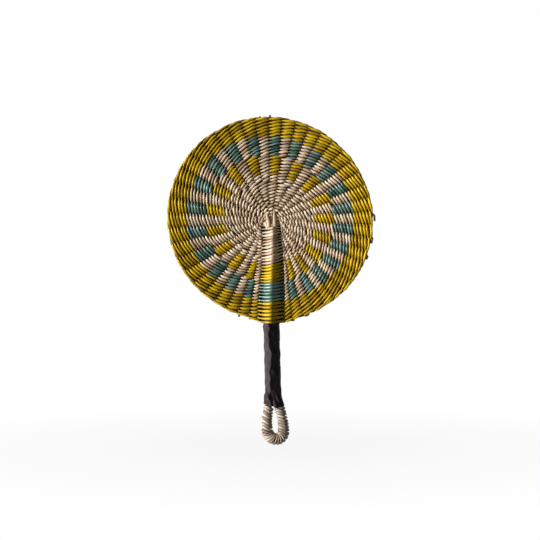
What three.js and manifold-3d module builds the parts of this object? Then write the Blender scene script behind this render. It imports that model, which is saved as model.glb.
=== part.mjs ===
// A round hand fan: a grass disc twined over radiating spokes, a bundled straw handle in a leather sleeve,
// and a hanging loop wound with grass.
// Millimetres. +Z runs up the handle to the disc, -Y is the front. The origin is the middle of the grip.

import * as THREE from "three";
import { mergeVertices } from "three/addons/utils/BufferGeometryUtils.js";
import Module from "manifold-3d";

const wasm = await Module();
wasm.setup();

// Disc
const DISC_DIAMETER = 280;
const EYE_RADIUS = 5.2;
const DISH_DEPTH = 10; // how far the left and right rims stand in front of the spine
const SPOKE_DIAMETER = 3;
const STRAND_THICKNESS = 2.2; // the twined strand that covers a spoke or the spine
const SPINE_SPREAD = 18.5; // from the spine's axis to the foot of its woven flank
const RIDGE_RADIUS = 6; // the rounding of the ridge where the spine's two flanks meet
const HEAD_DROP = 8; // from the disc's centre down to the top of the handle bundle

// Handle bundle: a hairpin of two legs, with fillers in the grooves between them
const LEG_DIAMETER = 9;
const FILLER_DIAMETER = 5.8;
const PACKING_DIAMETER = 2.6;

// Grip and loop
const GRIP_LENGTH = 112;
const LEATHER_THICKNESS = 1.6;
const LEG_SPREAD_LENGTH = 26; // the stretch above the sleeve's mouth over which the legs part
const LOOP_LENGTH = 54; // from the sleeve's mouth to the bottom of the loop
const LOOP_WIDTH = 37;
const HANDLE_SWEEP = 4; // how far the handle drifts to the right by the bottom of the loop
const WINDING_THICKNESS = 1.8;
const WINDING_WIDTH = 3.6; // along the loop, where the turns have room
const WINDING_TURNS = 24;
const WINDING_GAP = 0.7; // least room between two turns

// Gap between pieces that touch
const CLEARANCE = 0.3;

// Bands of rows from the centre out
const BANDS = [
  { name: "natural_weave", rows: 13, colour: "natural" },
  { name: "yellow_block_weave", rows: 6, colour: "yellow" },
  { name: "teal_block_weave", rows: 6, colour: "teal" },
  { name: "yellow_rim_weave", rows: 5, colour: "yellow" },
  { name: "rim_border", rows: 1, colour: "yellow" },
];

// The spokes, spread evenly at these rows. Between two of them they shift to let in the new ones,
// which start at the row given
const SPOKE_COUNTS = [
  { row: 0, count: 11, newFrom: 1 },
  { row: 3, count: 11 },
  { row: 6, count: 23, newFrom: 5.2 },
  { row: 13, count: 35, newFrom: 8 },
  { row: 19, count: 35 },
  { row: 25, count: 45, newFrom: 20 },
  { row: 30, count: 45 },
];

// Facets
const LEG_SIDES = 10;
const STRAW_SIDES = 6;
const SPOKE_SIDES = 4;
const WINDING_SIDES = 6;
const WINDING_STEPS_PER_TURN = 12;
const BORE_SIDES = 24;
const COVER_ARC_SEGMENTS = 4;
const HEAD_SIDES = 16;
const SLEEVE_STEPS = 8;
const STRAIGHT_STEPS = 4;
const SPREAD_STEPS = 8;
const ARC_STEPS = 12;
const PACE_STEPS = 100;
const HALVINGS = 40;
const GAP_SAMPLES_PER_TURN = 96;

const COLOURS = {
  natural: { color: 0xc9ae8b, roughness: 0.6 },
  yellow: { color: 0xc9a11b, roughness: 0.55 },
  teal: { color: 0x4f7f78, roughness: 0.6 },
  core: { color: 0xbfa57a, roughness: 0.75 },
  leather: { color: 0x231c1e, roughness: 0.45 },
};

// Worked out from the sizes above
const discRadius = DISC_DIAMETER / 2;
const spokeRadius = SPOKE_DIAMETER / 2;
const legRadius = LEG_DIAMETER / 2;
const fillerRadius = FILLER_DIAMETER / 2;
const packingRadius = PACKING_DIAMETER / 2;
const legOffset = legRadius + CLEARANCE / 2;

// A filler touches both legs, and a packing straw touches one leg and one filler
const legToFiller = legRadius + fillerRadius + CLEARANCE;
const fillerY = Math.sqrt(legToFiller ** 2 - legOffset ** 2);
const legToPacking = legRadius + packingRadius + CLEARANCE;
const fillerToPacking = fillerRadius + packingRadius + CLEARANCE;
const packingAlong = (legToPacking ** 2 - fillerToPacking ** 2 + legToFiller ** 2) / (2 * legToFiller);
const packingOut = Math.sqrt(legToPacking ** 2 - packingAlong ** 2);
const packingX = legOffset + (-legOffset * packingAlong + fillerY * packingOut) / legToFiller;
const packingY = (fillerY * packingAlong + legOffset * packingOut) / legToFiller;

const bundleRadius = Math.max(
  legOffset + legRadius,
  fillerY + fillerRadius,
  Math.hypot(packingX, packingY) + packingRadius,
);
const boreRadius = bundleRadius + CLEARANCE;
const spineRadius = boreRadius + STRAND_THICKNESS;
const ribHalfThickness = spokeRadius + CLEARANCE + STRAND_THICKNESS;
const valleyHalfThickness = STRAND_THICKNESS;
const gripTop = GRIP_LENGTH / 2;
const gripBottom = -GRIP_LENGTH / 2;
const discCentreZ = gripTop + CLEARANCE + discRadius;
const bundleTop = discCentreZ - HEAD_DROP;
const spreadStart = gripBottom + LEG_SPREAD_LENGTH;
const loopBottom = gripBottom - LOOP_LENGTH;
const ropeRadius = legRadius + CLEARANCE + WINDING_THICKNESS;
const loopHalfWidth = LOOP_WIDTH / 2 - ropeRadius;
const loopShoulder = loopBottom + ropeRadius + loopHalfWidth;
const rowCount = BANDS.reduce((sum, band) => sum + band.rows, 0);
const rowPitch = (discRadius - EYE_RADIUS) / rowCount;

// Solids

function solidOf(geometry) {
  geometry.deleteAttribute("normal");
  geometry.deleteAttribute("uv");
  const merged = mergeVertices(geometry);
  return new wasm.Manifold(
    new wasm.Mesh({
      numProp: 3,
      vertProperties: new Float32Array(merged.attributes.position.array),
      triVerts: new Uint32Array(merged.index.array),
    }),
  );
}

function geometryOf(solid) {
  const mesh = solid.getMesh();
  const geometry = new THREE.BufferGeometry();
  geometry.setAttribute("position", new THREE.BufferAttribute(mesh.vertProperties, mesh.numProp));
  geometry.setIndex(new THREE.BufferAttribute(mesh.triVerts, 1));
  geometry.computeVertexNormals();
  return geometry;
}

function addPiece(group, name, geometry, colour) {
  const material = new THREE.MeshStandardMaterial({ metalness: 0, ...COLOURS[colour] });
  const mesh = new THREE.Mesh(geometry, material);
  mesh.name = name;
  group.add(mesh);
}

// A closed revolved shell whose vertices are put where place(column, point) says
function shapedLathe(profile, columns, place) {
  const geometry = new THREE.LatheGeometry(profile, columns);
  const position = geometry.getAttribute("position");
  for (let v = 0; v < position.count; v += 1) {
    const column = Math.floor(v / profile.length) % columns;
    const at = place(column, v % profile.length);
    position.setXYZ(v, at.x, at.y, at.z);
  }
  return geometry;
}

// The corners of a ring, which is an ellipse given by its centre and its two half axes
function ringCorners({ centre, outward, sideways }, sides) {
  return Array.from({ length: sides }, (_, column) => {
    const angle = (2 * Math.PI * (column + 0.5)) / sides;
    return centre
      .clone()
      .addScaledVector(outward, Math.sin(angle))
      .addScaledVector(sideways, Math.cos(angle));
  });
}

// A closed tube through rings, each of which faces along the tube
function ringTube(rings, sides) {
  const last = rings.length - 1;
  const corners = rings.map((ring) => ringCorners(ring, sides));
  const profile = [
    new THREE.Vector2(0, 0),
    ...rings.map((_, i) => new THREE.Vector2(1, i)),
    new THREE.Vector2(0, last),
  ];
  return shapedLathe(profile, sides, (column, point) => {
    if (point === 0) return rings[0].centre;
    if (point > rings.length) return rings[last].centre;
    return corners[point - 1][column];
  });
}

const ACROSS = new THREE.Vector3(0, 1, 0);

// A round ring whose tube runs from one point to another in a plane that faces the front
function planarRing(centre, from, to, radius) {
  const sideways = ACROSS.clone().cross(to.clone().sub(from));
  return { centre, outward: ACROSS.clone().setLength(radius), sideways: sideways.setLength(radius) };
}

function planarTube(points, radius, sides) {
  const last = points.length - 1;
  const rings = points.map((point, i) => {
    const before = points[Math.max(0, i - 1)];
    const after = points[Math.min(last, i + 1)];
    return planarRing(point, before, after, radius);
  });
  return ringTube(rings, sides);
}

function spaced(from, to, steps) {
  return Array.from({ length: steps + 1 }, (_, i) => THREE.MathUtils.lerp(from, to, i / steps));
}

// Disc layout: angles run clockwise from the spine, seen from the front

const radiusAfter = (row) => EYE_RADIUS + row * rowPitch;

const bandEdges = [EYE_RADIUS];
for (const band of BANDS) {
  bandEdges.push(bandEdges.at(-1) + band.rows * rowPitch);
}

const stations = SPOKE_COUNTS.map(({ row, count, newFrom = row }) => ({
  radius: radiusAfter(row),
  count,
  start: radiusAfter(newFrom),
}));

function dish(x) {
  return -DISH_DEPTH * (x / discRadius) ** 2;
}

function onDisc(radius, angle, lift = 0) {
  const x = -radius * Math.sin(angle);
  return new THREE.Vector3(x, lift + dish(x), discCentreZ - radius * Math.cos(angle));
}

// Half of the angle that the spine and its flanks take up at a radius
function spineHalfAngle(radius) {
  const widest = Math.PI / 3;
  return SPINE_SPREAD < radius * Math.sin(widest) ? Math.asin(SPINE_SPREAD / radius) : widest;
}

// Where spoke i of an inner count stands in an outer count
function outerIndex(i, inner, outer) {
  return Math.round(((i + 0.5) * outer) / inner - 0.5);
}

// Each spoke's index at every station, from the rim in. It is undefined before the spoke starts
function spokeIndices(rimIndex) {
  const indices = [rimIndex];
  for (let s = stations.length - 2; s >= 0; s -= 1) {
    const { count } = stations[s];
    const outer = stations[s + 1].count;
    const next = indices[0];
    const here = Array.from({ length: count }, (_, i) => i);
    indices.unshift(here.find((i) => outerIndex(i, count, outer) === next));
  }
  return indices;
}

// A spoke keeps the angle that it starts at further in, where it shapes nothing but the ribs
function spokeAngle(indices, radius) {
  const born = indices.findIndex((i) => i !== undefined);
  const share = (station) => {
    const known = Math.max(station, born);
    return (indices[known] + 0.5) / stations[known].count;
  };
  const beyond = stations.findIndex((station) => station.radius >= radius);
  const s = beyond < 0 ? stations.length - 1 : Math.max(1, beyond);
  const t = (radius - stations[s - 1].radius) / (stations[s].radius - stations[s - 1].radius);
  const fraction = THREE.MathUtils.lerp(share(s - 1), share(s), THREE.MathUtils.clamp(t, 0, 1));
  const half = spineHalfAngle(radius);
  return half + fraction * (2 * Math.PI - 2 * half);
}

function makeSpoke(rimIndex) {
  const indices = spokeIndices(rimIndex);
  const { start } = stations[indices.findIndex((i) => i !== undefined)];
  const end = bandEdges.at(-2) - STRAND_THICKNESS;
  const radii = stations.map((station) => station.radius);
  const between = radii.filter((radius) => radius > start && radius < end);
  return { indices, start, end, between };
}

function spokeTube(spoke, radius, extra) {
  const radii = [spoke.start - extra, ...spoke.between, spoke.end + extra];
  const points = radii.map((r) => onDisc(r, spokeAngle(spoke.indices, r)));
  const rings = points.map((point) => planarRing(point, points[0], points.at(-1), radius));
  return ringTube(rings, SPOKE_SIDES);
}

const spokes = [];
for (let j = 0; j < SPOKE_COUNTS.at(-1).count; j += 1) {
  spokes.push(makeSpoke(j));
}

// Woven bands

// A ring between two radii, with a rib over each spoke and over the spine. Between two valleys, the ring's
// outline is straight past a spoke
function ribbedRing(inner, outer, ribHalf, valleyHalf) {
  const between = stations.map((station) => station.radius);
  const front = [inner, ...between.filter((r) => r > inner + rowPitch && r < outer - rowPitch), outer];
  const present = spokes.filter((spoke) => spoke.start < outer);
  const outlineAt = (radius) => {
    const ribs = [0, ...present.map((spoke) => spokeAngle(spoke.indices, radius)), 2 * Math.PI];
    const valleys = ribs.slice(0, -1).map((rib, i) => (rib + ribs[i + 1]) / 2);
    return valleys.flatMap((valley, i) => {
      if (i === 0) return [{ angle: 0, radius }, { angle: valley, radius }];
      const middle = (valley + valleys[i - 1]) / 2;
      const chord = (radius * Math.cos(valley - middle)) / Math.cos(ribs[i] - middle);
      return [{ angle: ribs[i], radius: chord }, { angle: valley, radius }];
    });
  };
  const outlines = front.map(outlineAt);
  const order = [...front.keys(), ...[...front.keys()].reverse()];
  const sides = order.map((_, i) => (i < front.length ? -1 : 1));
  if (inner > 0) {
    order.push(0);
    sides.push(-1);
  }
  const profile = order.map((i, point) => new THREE.Vector2(front[i], sides[point]));
  return shapedLathe(profile, 2 * (present.length + 1), (column, point) => {
    const { angle, radius } = outlines[order[point]][column];
    const half = column % 2 === 0 || radius === 0 ? ribHalf : valleyHalf;
    return onDisc(radius, angle, sides[point] * half);
  });
}

// The woven cover of the spine: on both faces, straight flanks run from the disc up past the bundle to a
// rounded ridge
function spineCover() {
  const tilt = Math.acos(spineRadius / SPINE_SPREAD);
  const ridgeCentre = (spineRadius - RIDGE_RADIUS) / Math.sin(tilt);
  const foot = valleyHalfThickness / 2;
  const section = new THREE.Shape();
  section.moveTo(SPINE_SPREAD, -foot);
  section.lineTo(SPINE_SPREAD, foot);
  section.absarc(0, ridgeCentre, RIDGE_RADIUS, tilt, Math.PI - tilt, false);
  section.lineTo(-SPINE_SPREAD, foot);
  section.lineTo(-SPINE_SPREAD, -foot);
  section.absarc(0, -ridgeCentre, RIDGE_RADIUS, Math.PI + tilt, 2 * Math.PI - tilt, false);
  const length = discRadius - HEAD_DROP;
  const flanks = new THREE.ExtrudeGeometry(section, {
    depth: length,
    bevelEnabled: false,
    curveSegments: COVER_ARC_SEGMENTS,
  });
  flanks.translate(0, 0, bundleTop - length);
  const headRadius = boreRadius + STRAND_THICKNESS / 2;
  const head = new THREE.SphereGeometry(headRadius, HEAD_SIDES, HEAD_SIDES / 2);
  head.scale(1, (ridgeCentre + RIDGE_RADIUS) / headRadius, 1);
  head.translate(0, 0, bundleTop);
  return solidOf(flanks).add(solidOf(head));
}

function bundleBore() {
  const radius = boreRadius / Math.cos(Math.PI / BORE_SIDES);
  const length = 2 * discRadius;
  const geometry = new THREE.CylinderGeometry(radius, radius, length, BORE_SIDES);
  geometry.rotateX(Math.PI / 2);
  geometry.translate(0, 0, bundleTop + CLEARANCE - length / 2);
  return solidOf(geometry);
}

function makeBands(group) {
  const cover = spineCover();
  const bore = bundleBore();
  const tunnelRadius = spokeRadius + CLEARANCE / Math.cos(Math.PI / SPOKE_SIDES);
  const tunnels = spokes
    .map((spoke) => solidOf(spokeTube(spoke, tunnelRadius, CLEARANCE)))
    .reduce((all, one) => all.add(one));
  const border = BANDS.length - 1;
  BANDS.forEach((band, i) => {
    const inner = i === 0 ? 0 : bandEdges[i] + CLEARANCE / 2;
    const outer = i === border ? discRadius : bandEdges[i + 1] - CLEARANCE / 2;
    const ring = solidOf(ribbedRing(inner, outer, ribHalfThickness, valleyHalfThickness));
    const reach = solidOf(ribbedRing(inner, outer, 2 * spineRadius, 2 * spineRadius));
    const woven = ring.add(cover.intersect(reach)).subtract(bore);
    const piece = i === border ? woven : woven.subtract(tunnels);
    addPiece(group, band.name, geometryOf(piece), band.colour);
  });
}

function makeSpokes(group) {
  spokes.forEach((spoke, j) => {
    const name = `spoke_${String(j + 1).padStart(2, "0")}`;
    addPiece(group, name, spokeTube(spoke, spokeRadius, 0), "core");
  });
}

// Handle

// The sideways drift of everything below the disc
function sweep(z) {
  const t = THREE.MathUtils.clamp((gripTop - z) / (gripTop - loopBottom), 0, 1);
  return HANDLE_SWEEP * t * t;
}

// How far each leg of the hairpin stands from the handle's axis, down to the shoulder of the loop
function legOffsetAt(z) {
  const t = THREE.MathUtils.clamp((spreadStart - z) / (spreadStart - loopShoulder), 0, 1);
  return THREE.MathUtils.lerp(legOffset, loopHalfWidth, Math.sin((Math.PI / 2) * t) ** 2);
}

const straightHeights = [bundleTop, ...spaced(gripTop, spreadStart, STRAIGHT_STEPS)];
const spreadHeights = spaced(spreadStart, loopShoulder, SPREAD_STEPS).slice(1);

function hairpinPoints() {
  const heights = [...straightHeights, ...spreadHeights];
  const leg = (side) => heights.map((z) => new THREE.Vector3(side * legOffsetAt(z) + sweep(z), 0, z));
  const arc = spaced(Math.PI, 2 * Math.PI, ARC_STEPS).slice(1, -1).map((angle) => {
    const z = loopShoulder + loopHalfWidth * Math.sin(angle);
    return new THREE.Vector3(loopHalfWidth * Math.cos(angle) + sweep(z), 0, z);
  });
  return [...leg(-1), ...arc, ...leg(1).reverse()];
}

const hairpin = new THREE.CatmullRomCurve3(hairpinPoints());

// A straw beside the legs, from the head of the bundle down to where the legs part
function straightStraw(x, y, radius) {
  const points = straightHeights.map((z) => new THREE.Vector3(x + sweep(z), y, z));
  return planarTube(points, radius, STRAW_SIDES);
}

function makeBundle(group) {
  addPiece(group, "loop_hairpin", planarTube(hairpin.points, legRadius, LEG_SIDES), "core");
  for (const [face, toFace] of [["front", -1], ["back", 1]]) {
    addPiece(group, `handle_filler_${face}`, straightStraw(0, toFace * fillerY, fillerRadius), "core");
    for (const [side, toSide] of [["left", -1], ["right", 1]]) {
      const straw = straightStraw(toSide * packingX, toFace * packingY, packingRadius);
      addPiece(group, `packing_straw_${face}_${side}`, straw, "core");
    }
  }
}

// The leather sleeve: round over the bundle, and an oval at its mouth, where the legs part. The ends of the
// oval are as round as the legs
function makeSleeve(group) {
  const heights = spaced(gripTop, gripBottom, SLEEVE_STEPS);
  const walls = [
    ...heights.map((z) => ({ z, wall: 0 })).reverse(),
    ...heights.map((z) => ({ z, wall: LEATHER_THICKNESS })),
  ];
  walls.push(walls[0]);
  const profile = walls.map(({ z, wall }) => new THREE.Vector2(boreRadius + wall, z));
  const sleeve = shapedLathe(profile, BORE_SIDES, (column, point) => {
    const { z, wall } = walls[point];
    const angle = (2 * Math.PI * column) / BORE_SIDES;
    const facet = wall > 0 ? 1 : 1 / Math.cos(Math.PI / BORE_SIDES);
    const parted = THREE.MathUtils.clamp((spreadStart - z) / LEG_SPREAD_LENGTH, 0, 1);
    const halfWidth = legOffsetAt(z) + legRadius + CLEARANCE;
    const mouthHalfDepth = Math.sqrt((legRadius + CLEARANCE) * halfWidth);
    const halfDepth = THREE.MathUtils.lerp(boreRadius, mouthHalfDepth, parted);
    return new THREE.Vector3(
      (facet * halfWidth + wall) * Math.cos(angle) + sweep(z),
      -(facet * halfDepth + wall) * Math.sin(angle),
      z,
    );
  });
  addPiece(group, "leather_sleeve", sleeve, "leather");
}

// The grass wound round the loop, from one side of the sleeve's mouth to the other.
// Its turns are evenly spaced along a line between the rope's axis and its inner side, so that they fan out
// round the bend without touching there
class WindingCurve extends THREE.Curve {
  constructor(from, to) {
    super();
    this.from = from;
    this.to = to;
    const reach = legRadius + CLEARANCE + WINDING_THICKNESS / 2;
    this.radius = reach / Math.cos(Math.PI / WINDING_STEPS_PER_TURN);
    const inside = spaced(from, to, PACE_STEPS).map((u) => {
      const inward = hairpin.getTangentAt(u).cross(ACROSS);
      return hairpin.getPointAt(u).addScaledVector(inward, this.radius / 2);
    });
    this.pace = new THREE.CatmullRomCurve3(inside);
    this.straight = WINDING_WIDTH / this.pace.getLength();
    this.ramp = this.straight;
  }

  // Turns made by a share of the length: none along each straight end, then a ramp up to a steady rate
  turnsAt(t) {
    const made = (s) => {
      const past = Math.max(0, s - this.straight);
      return past < this.ramp ? (past * past) / (2 * this.ramp) : past - this.ramp / 2;
    };
    const whole = 2 * made(0.5);
    const done = t <= 0.5 ? made(t) : whole - made(1 - t);
    return (WINDING_TURNS * done) / whole;
  }

  // The strand's centre and the way out from the rope, at an angle round the rope
  around(t, angle) {
    const u = THREE.MathUtils.lerp(this.from, this.to, this.pace.getUtoTmapping(t));
    const inward = hairpin.getTangentAt(u).cross(ACROSS);
    const outward = inward.multiplyScalar(Math.sin(angle)).addScaledVector(ACROSS, Math.cos(angle));
    return { centre: hairpin.getPointAt(u).addScaledVector(outward, this.radius), outward };
  }

  atTurn(t) {
    return this.around(t, 2 * Math.PI * this.turnsAt(t));
  }

  getPoint(t, target = new THREE.Vector3()) {
    return target.copy(this.atTurn(t).centre);
  }

  // The spacing of the turns on the strand's side of the rope
  pitchAt(t) {
    const before = Math.max(0, t - this.straight / 2);
    const after = Math.min(1, t + this.straight / 2);
    const angle = 2 * Math.PI * this.turnsAt(t);
    const length = this.around(before, angle).centre.distanceTo(this.around(after, angle).centre);
    return length / (this.turnsAt(after) - this.turnsAt(before));
  }

  ringAt(share) {
    const t = this.getUtoTmapping(share);
    const { centre, outward } = this.atTurn(t);
    const width = Math.min(WINDING_WIDTH, this.pitchAt(t) - WINDING_GAP);
    const sideways = outward.clone().cross(this.getTangent(t)).setLength(width / 2);
    return { centre, outward: outward.setLength(WINDING_THICKNESS / 2), sideways };
  }

  rings(perTurn) {
    return spaced(0, 1, WINDING_TURNS * perTurn).map((share) => this.ringAt(share));
  }
}

// The share of the hairpin's length at which its first leg comes down to a height
function hairpinShareAt(z) {
  let low = 0;
  let high = 0.5;
  for (let i = 0; i < HALVINGS; i += 1) {
    const middle = (low + high) / 2;
    if (hairpin.getPointAt(middle).z > z) low = middle;
    else high = middle;
  }
  return low;
}

// The least gap between the corners of one stretch of the winding and those of the next turn
function leastGap(curve) {
  const corners = curve.rings(GAP_SAMPLES_PER_TURN).map((ring) => ringCorners(ring, WINDING_SIDES));
  const nearest = GAP_SAMPLES_PER_TURN / 2;
  const furthest = 2 * GAP_SAMPLES_PER_TURN - nearest;
  let least = Infinity;
  corners.forEach((here, i) => {
    const others = corners.slice(i + nearest, i + furthest).flat();
    for (const corner of here) {
      for (const other of others) {
        least = Math.min(least, corner.distanceToSquared(other));
      }
    }
  });
  return Math.sqrt(least);
}

function makeWinding(group) {
  const from = hairpinShareAt(gripBottom - 2 * CLEARANCE);
  const curve = new WindingCurve(from, 1 - from);
  console.log(`loop_winding: least gap to itself ${leastGap(curve).toFixed(2)} mm`);
  addPiece(group, "loop_winding", ringTube(curve.rings(WINDING_STEPS_PER_TURN), WINDING_SIDES), "natural");
}

const fan = new THREE.Group();
makeBands(fan);
makeSpokes(fan);
makeBundle(fan);
makeSleeve(fan);
makeWinding(fan);

export default fan;
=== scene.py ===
"""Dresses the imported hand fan: twined grass rows, straw spokes, a leather grip and a wound hanging loop."""

import math

import bpy
import numpy as np
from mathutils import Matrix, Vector


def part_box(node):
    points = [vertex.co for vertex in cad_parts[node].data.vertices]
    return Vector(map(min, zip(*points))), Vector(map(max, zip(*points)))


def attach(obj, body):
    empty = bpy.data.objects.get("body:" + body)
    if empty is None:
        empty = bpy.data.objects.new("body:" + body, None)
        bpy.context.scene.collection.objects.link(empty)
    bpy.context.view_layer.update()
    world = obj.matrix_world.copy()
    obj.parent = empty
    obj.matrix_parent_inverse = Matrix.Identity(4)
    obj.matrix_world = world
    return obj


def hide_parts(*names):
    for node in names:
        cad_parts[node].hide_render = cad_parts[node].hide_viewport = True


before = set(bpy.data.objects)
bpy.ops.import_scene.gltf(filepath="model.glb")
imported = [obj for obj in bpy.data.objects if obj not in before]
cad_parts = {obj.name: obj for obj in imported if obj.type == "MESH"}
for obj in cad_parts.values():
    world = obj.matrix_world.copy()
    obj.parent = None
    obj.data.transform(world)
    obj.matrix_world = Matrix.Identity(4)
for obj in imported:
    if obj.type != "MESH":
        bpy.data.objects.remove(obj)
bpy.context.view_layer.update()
random = np.random.default_rng(28)

MM = 0.001
TURN = 2 * math.pi
FRONT = np.array([0.0, -1.0, 0.0])

# Sizes that the frame gives
rim_low, rim_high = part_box("rim_border")
grip_low, grip_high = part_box("leather_sleeve")
loop_low, loop_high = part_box("loop_winding")
DISC_RADIUS = (rim_high.x - rim_low.x) / 2
DISC_Z = rim_high.z - DISC_RADIUS
GRIP_TOP = grip_high.z
GRIP_BOTTOM = grip_low.z
LOOP_BOTTOM = loop_low.z
ROPE_RADIUS = (loop_high.y - loop_low.y) / 2
LOOP_HALF_WIDTH = (loop_high.x - loop_low.x) / 2 - ROPE_RADIUS

# Disc
EYE_RADIUS = 4.4 * MM
DISH_DEPTH = 10 * MM  # how far the left and right rims stand in front of the spine
LEAN, LEAN_ANGLE, LEAN_FULL = 2.9 * MM, math.radians(125), 45 * MM  # the rows sit a little off the handle
OVAL, OVAL_ANGLE = 1.9 * MM, math.radians(135)
BELLY, BELLY_WIDTH, BELLY_LEFT = 4.5 * MM, 30 * MM, -4 * MM  # the rim sags over the top of the grip
PRESS, PRESS_RIM = 2.9 * MM, 0.65  # how far the lower rows are pressed up, and the share of it at the rim
PRESS_FROM, PRESS_FULL, PRESS_END = 60 * MM, 105 * MM, 115 * MM  # radii where it starts, is full, and eases

# Spine: the rows pass over the handle's bundle
SPINE_SPREAD = 18.25 * MM  # half the width of the foot
HEAD_REACH = 13.5 * MM  # half the width of the head
LEFT_REACH = (18.5 * MM, 55 * MM, 110 * MM)  # at the foot, and the radii between which it grows to that
RIGHT_REACH = (18 * MM, 10 * MM, 60 * MM)
BUNDLE_RADIUS = 9.15 * MM
BELT_LIFT = 0.5 * MM  # between the bundle and the strands over it
RIDGE_RADIUS = 2.5 * MM
RIDGE_LEFT = (-2 * MM, 2 * MM)  # how far left of the middle the ridge runs, at the centre and at the rim
SPINE_TILT, TILT_WIDTH = 2.6 * MM, 26 * MM  # the rows rise to the right as they cross the upper spine
TILT_FULL, TILT_END = 55 * MM, 100 * MM  # radii between which they come level
FLAT_HALF = 14 * MM  # the inner rows run straight across the spine, this far to each side
FLAT_END = 60 * MM  # the radius from which the rows are round
FLAT_RELAX = 0.6  # the angle in which a straight row comes back to its circle

# Head of the spine: its height grows from a share at one radius to the full height at another
HEAD_START, HEAD_FULL, HEAD_SHARE = 3 * MM, 14 * MM, 0.45
HEAD_STEPS = 20
HEAD_STRAW_WIDTH = (5.6 * MM, 3.8 * MM)  # at the outer end, and at the end in the bundle
HEAD_STRAW_THICKNESS = 2.2 * MM
HEAD_STRAW_SHADES = (0.3, 0.9)
HEAD_BEND_X, HEAD_BEND_Y, HEAD_BEND_Z = 0.5, 1.5 * MM, 0.3  # x and z are shares of those at the first row
HEAD_END_X, HEAD_END_Y, HEAD_END_DROP = 0.35, 4.2 * MM, 12.5 * MM

# Straws of the head that lie over the first rows: x of the foot and of the tip, height of the tip, shade. The
# right-hand rib is darker as painted shade
HEAD_RIBS = [
    (-3.4 * MM, -8.0 * MM, 13 * MM, 0.45),
    # darker tint: painted shade on the right-hand rib
    (4.6 * MM, 3.0 * MM, 18 * MM, 0.2),
]
RIB_ACROSS = np.array([0, 0.3, 0.7, 1])  # shares of the way from the foot to the tip
RIB_FORWARD = np.array([4.8, 4.2, 3.6, 1.6]) * MM  # in front of the disc, at the same points
RIB_DROP = 9 * MM  # from the disc's centre down to the foot
RIB_WIDTH, RIB_THICKNESS, RIB_TIP = 5 * MM, 2.4 * MM, 0.45  # the tip is a share of both

# Twined strands
STRAND_WIDTH = 3.3 * MM
STRAND_CROSSING = 1.5 * MM  # the width at the crossings beside the spine
STRAND_THICKNESS = 3.1 * MM
CROSSING_THICKNESS = 1.9 * MM
SPINE_THICKNESS = 2.4 * MM
SPINE_STRAND_WIDTH = 4.2 * MM
POINTED = 2.2  # how late a strand narrows as it leaves the spine
LATE_TURN = 7  # how late it turns on edge there
FRONT_LIFT = 2.6 * MM
FLATNESS = 0.25  # how flat a strand runs over a spoke
SPINE_CROSSING_LIFT = 1.7 * MM  # beside the spine the two strands pass each other in front of the spokes
CROSSING_LIFT, CROSSING_DEPTH = 0.4 * MM, 3.8 * MM  # elsewhere they fill the room between two spokes
TWIST_OFFSET = 1.95 * MM  # how far a strand swings out of its row at a crossing
SPINE_TWIST = 1.5 * MM  # the same beside the spine
TWIST_SPACING = 13 * MM  # where the spokes stand closer than this, the strands twist less
FULL_SPACING = 9 * MM  # where they stand closer than this, the strands are thinner
ROW_WANDER = 0.45 * MM  # how far a strand strays from its row
LIFT_VARIES, WIDTH_VARIES = 0.12, 0.2
BORDER_TWIST, BORDER_RISE, BORDER_WANDER = 1.125 * MM, 0.75, 0.7 * MM  # of the last row
FLOAT_SHADES = (1.3, 1.2)  # the beta distribution of the shades of the floats
STEPS = 10
SPINE_STEPS = 30
SIDES = 8

# Rows from the centre out, with their pegs: the spokes, and the spine as one more. Most pegs have slipped
# clockwise by some degrees, which sets in between two angles and fades out before the spine
RINGS = [
    {"rows": 4, "pegs": 12, "slip": 0, "slip_from": 0, "slip_to": 1, "slip_fade": 299},
    {"rows": 7, "pegs": 24, "slip": 6, "slip_from": 100, "slip_to": 260, "slip_fade": 299},
    {"rows": 8, "pegs": 36, "slip": 8, "slip_from": 100, "slip_to": 260, "slip_fade": 299},
    {"rows": 12, "pegs": 46, "slip": 10.5, "slip_from": 40, "slip_to": 150, "slip_fade": 264},
]
SLIP_END = 354
ROWS = [ring for ring in RINGS for _ in range(ring["rows"])]
ROW_PITCH = (DISC_RADIUS - EYE_RADIUS) / len(ROWS)

# Spokes
SPOKE_THICKNESS = 1.6 * MM
SPOKE_SHARE = 1.2  # of the room between two spokes: each is a flat bundle of straw
SPOKE_STEPS = 24
SPOKE_LEAD = ROW_PITCH / 3  # how far a new spoke reaches in past the last row without it
SPOKE_STOP = 0.15 * ROW_PITCH  # how far inside the rim a spoke ends
CROWD_REACH = 1.35  # how far the crowding beside the spine reaches, in its own size

# The rows and strands of each woven piece. Strand 0 passes in front of the spine
WEAVES = [
    ("natural_rows", "natural_weave", range(0, 13), (0, 1), "natural"),
    ("yellow_blocks", "yellow_block_weave", range(13, 19), (0,), "yellow"),
    ("yellow_block_ground", "yellow_block_weave", range(13, 19), (1,), "natural"),
    ("teal_blocks", "teal_block_weave", range(19, 25), (0,), "teal"),
    ("teal_block_ground", "teal_block_weave", range(19, 25), (1,), "natural"),
    ("yellow_rim_rows", "yellow_rim_weave", range(25, 30), (0, 1), "yellow"),
    ("border_row", "rim_border", range(30, 31), (0, 1), "yellow"),
]

# Loose strand ends at the rim: degrees from the spine, how far they stand out, how far they run along it
LOOSE_ENDS = [
    (19, 2.0 * MM, 0),
    (173.4, 0.3 * MM, 0),
    (179, 1.5 * MM, 0),
    (266, 2.0 * MM, 11 * MM),
    (279, 1.0 * MM, 10 * MM),
    (290, 1.0 * MM, 6 * MM),
    (338, 0.8 * MM, 7 * MM),
]
LOOSE_WIDTH = (3.2 * MM, 2.8 * MM)  # at the root and at the tip
LOOSE_ROOT, LOOSE_LIFT = 3 * MM, 1.5 * MM  # how deep in the rim the root lies, and how far in front
LOOSE_STEPS = 14

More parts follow.
